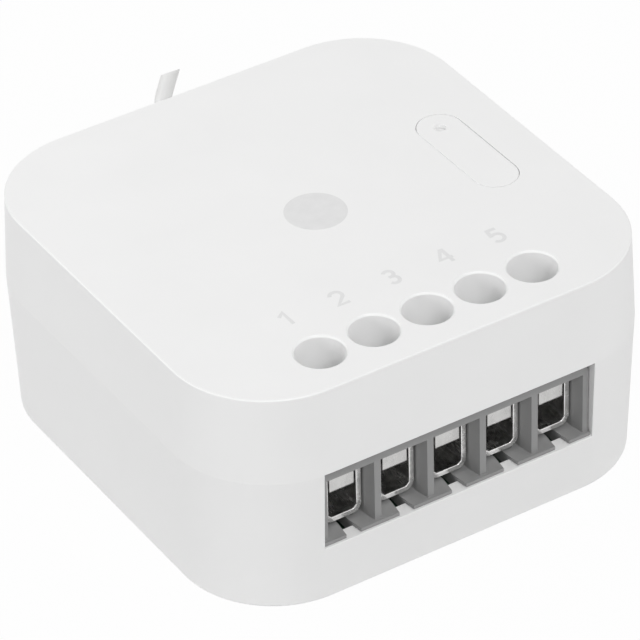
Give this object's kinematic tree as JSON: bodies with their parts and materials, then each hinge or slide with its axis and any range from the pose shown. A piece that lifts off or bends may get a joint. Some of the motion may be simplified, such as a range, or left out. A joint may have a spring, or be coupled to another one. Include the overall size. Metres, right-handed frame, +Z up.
{
  "type": "smart relay module",
  "caption": "Small rounded wall-box relay module with a row of screw-clamp wire terminals, screwdriver holes, a flush push key and a short aerial wire.",
  "frame": {"origin": "centre of the flat base, under the middle of the rounded square case", "axes": "+Z up out of the cover, -Y out of the terminal face, +X to the right seen from the terminal face"},
  "size_m": [0.0428, 0.0465, 0.0215],
  "materials": {
    "shell_white": "fine matt texture",
    "guide_clear": "frosted",
    "block_grey": "satin",
    "nickel_plate": "bright nickel plate",
    "screw_steel": "zinc plate",
    "board_green": "solder resist",
    "header_black": "matt",
    "switch_black": "matt",
    "relay_black": "satin",
    "ferrite_grey": "sintered",
    "winding_tape": "taped",
    "copper_wire": "enamelled",
    "capacitor_sleeve": "shrunk sleeve",
    "varistor_blue": "dipped coat",
    "film_box": "moulded box",
    "fuse_coat": "ceramic coat",
    "chip_black": "moulded",
    "light_body": "clear resin",
    "radio_green": "solder resist",
    "shield_tin": "tin plate",
    "wire_white": "insulation",
    "wire_copper": "tinned copper"
  },
  "bodies": {
    "case": {"lower_case": "shell_white", "top_cover": "shell_white", "terminal_housing": "block_grey", "contact_1": "nickel_plate", "contact_2": "nickel_plate", "contact_3": "nickel_plate", "contact_4": "nickel_plate", "contact_5": "nickel_plate", "tact_switch": "switch_black", "power_board": "board_green", "control_board": "board_green", "left_header": "header_black", "right_header": "header_black", "relay_base": "relay_black", "relay_case": "relay_black", "transformer_foot": "header_black", "transformer_core": "ferrite_grey", "transformer_winding": "winding_tape", "input_capacitor": "capacitor_sleeve", "output_capacitor": "capacitor_sleeve", "inductor_core": "ferrite_grey", "inductor_coil": "copper_wire", "varistor": "varistor_blue", "film_capacitor": "film_box", "fuse_resistor": "fuse_coat", "bridge_rectifier": "chip_black", "optocoupler": "chip_black", "status_light": "light_body", "radio_board": "radio_green", "radio_shield": "shield_tin", "aerial_wire": "wire_white", "aerial_core": "wire_copper"},
    "button": {"button_key": "shell_white", "light_guide": "guide_clear"},
    "plunger": {"tact_plunger": "switch_black"},
    "cage_1": {"clamp_cage_1": "nickel_plate"},
    "screw_1": {"clamp_screw_1": "screw_steel"},
    "cage_2": {"clamp_cage_2": "nickel_plate"},
    "screw_2": {"clamp_screw_2": "screw_steel"},
    "cage_3": {"clamp_cage_3": "nickel_plate"},
    "screw_3": {"clamp_screw_3": "screw_steel"},
    "cage_4": {"clamp_cage_4": "nickel_plate"},
    "screw_4": {"clamp_screw_4": "screw_steel"},
    "cage_5": {"clamp_cage_5": "nickel_plate"},
    "screw_5": {"clamp_screw_5": "screw_steel"}
  },
  "joints": [
    {"name": "key_press", "type": "slide", "parent": "case", "child": "button", "axis": [0, 0, -1], "range_m": [0, 0.0003], "stiffness_N_per_m": 400, "springref_m": -0.0005},
    {"name": "plunger_press", "type": "slide", "parent": "case", "child": "plunger", "axis": [0, 0, -1], "range_m": [0, 0.0003]},
    {"name": "screw_turn_1", "type": "hinge", "parent": "case", "child": "screw_1", "pos_m": [-0.01016, -0.0166, 0.0148], "axis": [0, 0, -1], "range_deg": [0, 1680]},
    {"name": "cage_rise_1", "type": "slide", "parent": "case", "child": "cage_1", "axis": [0, 0, 1], "range_m": [0, 0.0021]},
    {"name": "screw_turn_2", "type": "hinge", "parent": "case", "child": "screw_2", "pos_m": [-0.00508, -0.0166, 0.0148], "axis": [0, 0, -1], "range_deg": [0, 1680]},
    {"name": "cage_rise_2", "type": "slide", "parent": "case", "child": "cage_2", "axis": [0, 0, 1], "range_m": [0, 0.0021]},
    {"name": "screw_turn_3", "type": "hinge", "parent": "case", "child": "screw_3", "pos_m": [0, -0.0166, 0.0148], "axis": [0, 0, -1], "range_deg": [0, 1680]},
    {"name": "cage_rise_3", "type": "slide", "parent": "case", "child": "cage_3", "axis": [0, 0, 1], "range_m": [0, 0.0021]},
    {"name": "screw_turn_4", "type": "hinge", "parent": "case", "child": "screw_4", "pos_m": [0.00508, -0.0166, 0.0148], "axis": [0, 0, -1], "range_deg": [0, 1680]},
    {"name": "cage_rise_4", "type": "slide", "parent": "case", "child": "cage_4", "axis": [0, 0, 1], "range_m": [0, 0.0021]},
    {"name": "screw_turn_5", "type": "hinge", "parent": "case", "child": "screw_5", "pos_m": [0.01016, -0.0166, 0.0148], "axis": [0, 0, -1], "range_deg": [0, 1680]},
    {"name": "cage_rise_5", "type": "slide", "parent": "case", "child": "cage_5", "axis": [0, 0, 1], "range_m": [0, 0.0021]}
  ],
  "couplings": [
    {"joint": "plunger_press", "follows": "key_press", "ratio": 1},
    {"joint": "screw_turn_1", "follows": "cage_rise_1", "rad_per_m": 13963},
    {"joint": "screw_turn_2", "follows": "cage_rise_2", "rad_per_m": 13963},
    {"joint": "screw_turn_3", "follows": "cage_rise_3", "rad_per_m": 13963},
    {"joint": "screw_turn_4", "follows": "cage_rise_4", "rad_per_m": 13963},
    {"joint": "screw_turn_5", "follows": "cage_rise_5", "rad_per_m": 13963}
  ]
}
